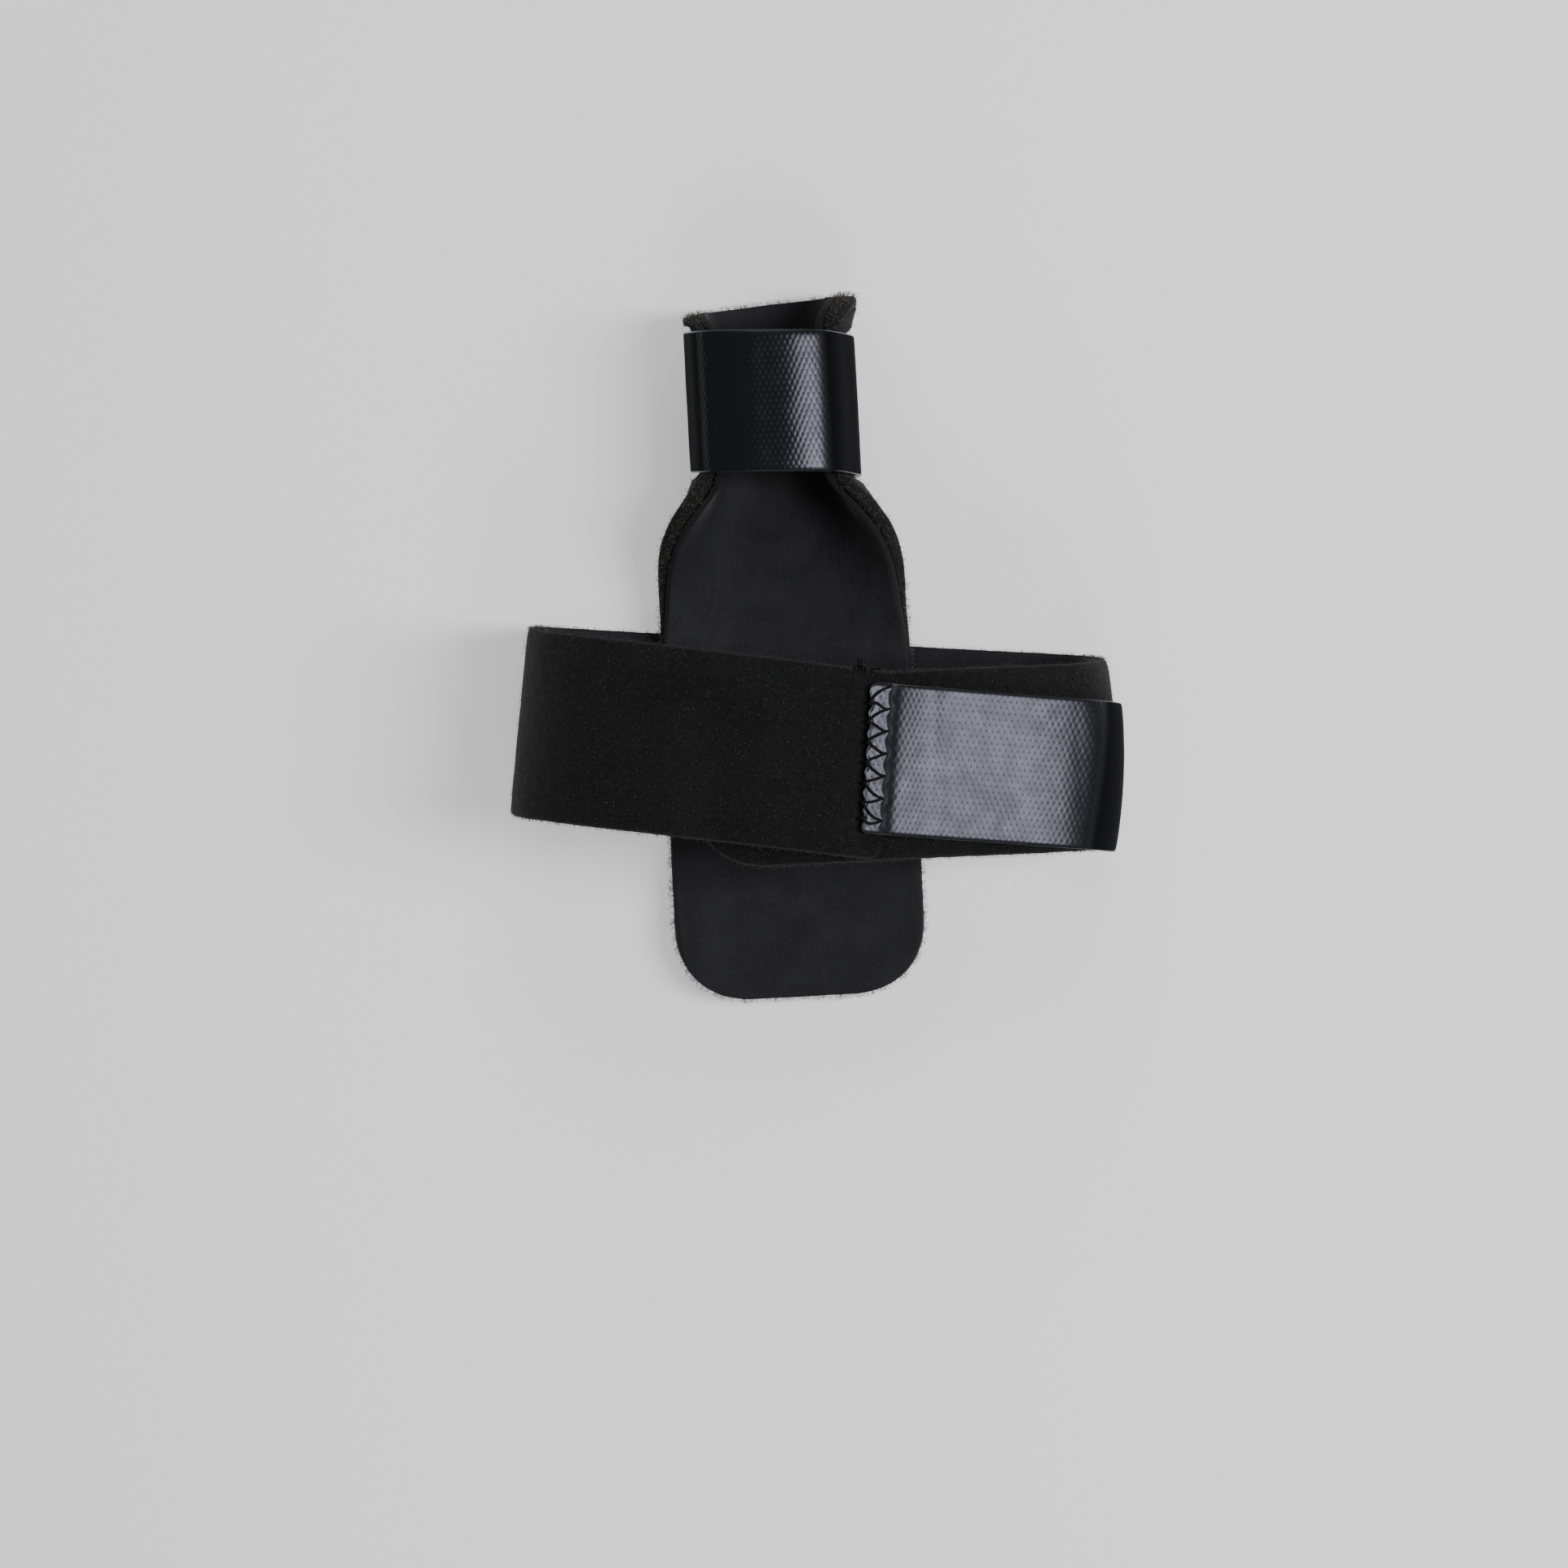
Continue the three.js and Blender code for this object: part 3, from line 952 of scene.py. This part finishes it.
def zigzag(piece, name, end, inward, half_width):
    """Sews a tape's end. The way from that end into the tape is +1 or -1 along its pattern."""
    pattern = Pattern(piece)
    rows = np.arange(-half_width, half_width + 0.1, half_stitch)
    outer, inner = end, end + inward * seam_width * MM
    run = []
    holes = []
    for number, across in enumerate(rows):
        inner_place = pattern.at(inner, across * MM + outer_pattern)[0]
        outer_place, out = pattern.at(outer, across * MM + outer_pattern)
        over_end = (outer_place - inner_place).normalized()
        hole, steps = (inner_place, through_tape) if number % 2 else (outer_place, round_end)
        holes.append(hole)
        run += [hole + over_end * forward * MM + out * up * MM for forward, up in steps]
        if number + 1 < len(rows):
            halfway = (across + half_stitch / 2) * MM + outer_pattern
            middle, out = pattern.at((outer + inner) / 2, halfway)
            run.append(middle + out * thread_rise * MM)
    holes = np.array(holes)
    points = points_of(piece)
    near = np.zeros(len(points))
    for hole in holes:
        distance = np.linalg.norm(points - hole, axis=1) / MM
        near = np.maximum(near, np.exp(-((distance / hole_radius) ** 2)))
    out = np.array(out)
    put_points(piece, points - out * (hole_depth * MM * near)[:, None])
    thread(name, [run], thread_radius)


zigzag(tab, "tab_zigzag_seam", first_along, 1, half_width=9.1)
finger_tape_end = Pattern(finger_tape).reach(outer_pattern)[1]
zigzag(finger_tape, "finger_tape_zigzag_seam", finger_tape_end, -1, half_width=8.4)


# Loose ends and pile. Frayed thread tails stick out where the seam runs off the upper arm, and the
# brushed pile of strap and cover stands out in fine curly filaments, longest on the trough's rim.
tail_places = [(9.0, 8.4), (9.7, 8.2), (10.3, 8.0), (10.8, 7.9), (11.4, 7.6)]
tail_turns = (-50, 20, -15, 40, -30)
tail_root = 0.5
tail_step = 0.52
tail_steps = 4
tail_radius = 0.19
above_arm = 34
lying_flat = 1.3  # nothing is planted underneath, below this height

runs = []
strap_face = surface_of(strap.data, front_side)
for (x, y), turn in zip(tail_places, tail_turns):
    place, out = strap_face.find_nearest(Vector((x, y, above_arm)) * MM)[:2]
    heading = Vector((chance.uniform(-0.7, 0.7), 1, chance.uniform(0, 0.4))).normalized()
    run = [place - heading * tail_root * MM]
    for step in range(tail_steps):
        run.append(run[-1] + heading * tail_step * MM)
        heading.rotate(Matrix.Rotation(radians(turn), 3, out))
    runs.append(run)
thread("arm_end_thread_tails", runs, tail_radius)


def strewn(piece, density, sizes):
    """Random places on the sides of a piece, so many to the square millimetre, each with its size, but
    none underneath, where it lies flat."""
    mesh = piece.data
    mesh.calc_loop_triangles()
    points = points_of(piece)
    triangles = np.array([triangle.vertices for triangle in mesh.loop_triangles])
    side = np.array([triangle.material_index for triangle in mesh.loop_triangles])
    first, second, third = points[triangles[:, 0]], points[triangles[:, 1]], points[triangles[:, 2]]
    normals = np.cross(second - first, third - first)
    areas = np.linalg.norm(normals, axis=1) / 2
    places = []
    for number, share in density.items():
        weight = np.where(side == number, areas, 0)
        count = int(weight.sum() / MM**2 * share)
        for chosen in chance.choice(len(triangles), count, p=weight / weight.sum()):
            a, b = sorted(chance.random(2))
            spot = first[chosen] * a + second[chosen] * (b - a) + third[chosen] * (1 - b)
            out = normals[chosen] / (2 * areas[chosen]) + chance.normal(0, 0.45, 3)
            turn, size = chance.uniform(0, 2 * pi), chance.uniform(*sizes)
            if spot[2] > lying_flat * MM or out[2] > 0.3:
                places.append((spot, out, turn, size))
    return places


# Filament: fine nylon, painted grey-brown and lighter than the fabric, a painted glow for the light that
# shines through it
pile_filament, shader = new_material("fine_nylon_filament")
tint = fabric_grain(pile_filament, 1.5, 1)
# Painted glow: the light grey-brown end of this mix stands in for light shining through the filament
hair_with_painted_glow = add_node(
    pile_filament,
    "ShaderNodeMix",
    {0: tint, 6: linear("#0c0b0b"), 7: linear("#78736e")},
    2,
    data_type="RGBA",
)
join(pile_filament, shader, {"Base Color": hair_with_painted_glow, "Roughness": 0.5})

curls = (radians(50), radians(35), radians(60))
filament = stalk("filament", sides=3, radius=0.03, leg=0.3, turns=curls, thinning=0.85)
places = strewn(cover, {front_side: 0.5, cut_side: 8}, (0.4, 1.3))
planted(filament, places, "trough_cover_fuzz", pile_filament)

# Strap pile: the same nylon dyed black and brushed short, so it shows only where light catches it
strap_pile, shader = new_material("dyed_nylon_pile")
tint = fabric_grain(strap_pile, 0.12, 1)
dyed = add_node(
    strap_pile,
    "ShaderNodeMix",
    {0: tint, 6: linear("#050505"), 7: linear("#1c1c1d")},
    2,
    data_type="RGBA",
)
join(strap_pile, shader, {"Base Color": dyed, "Roughness": 0.7, "Sheen Weight": 0.1})

curls = (radians(45), radians(30), radians(50))
filament = stalk("filament", sides=3, radius=0.022, leg=0.16, turns=curls, thinning=0.85)
places = strewn(strap, {front_side: 0.8, cut_side: 6}, (0.5, 1.3))
planted(filament, places, "strap_fuzz", strap_pile)
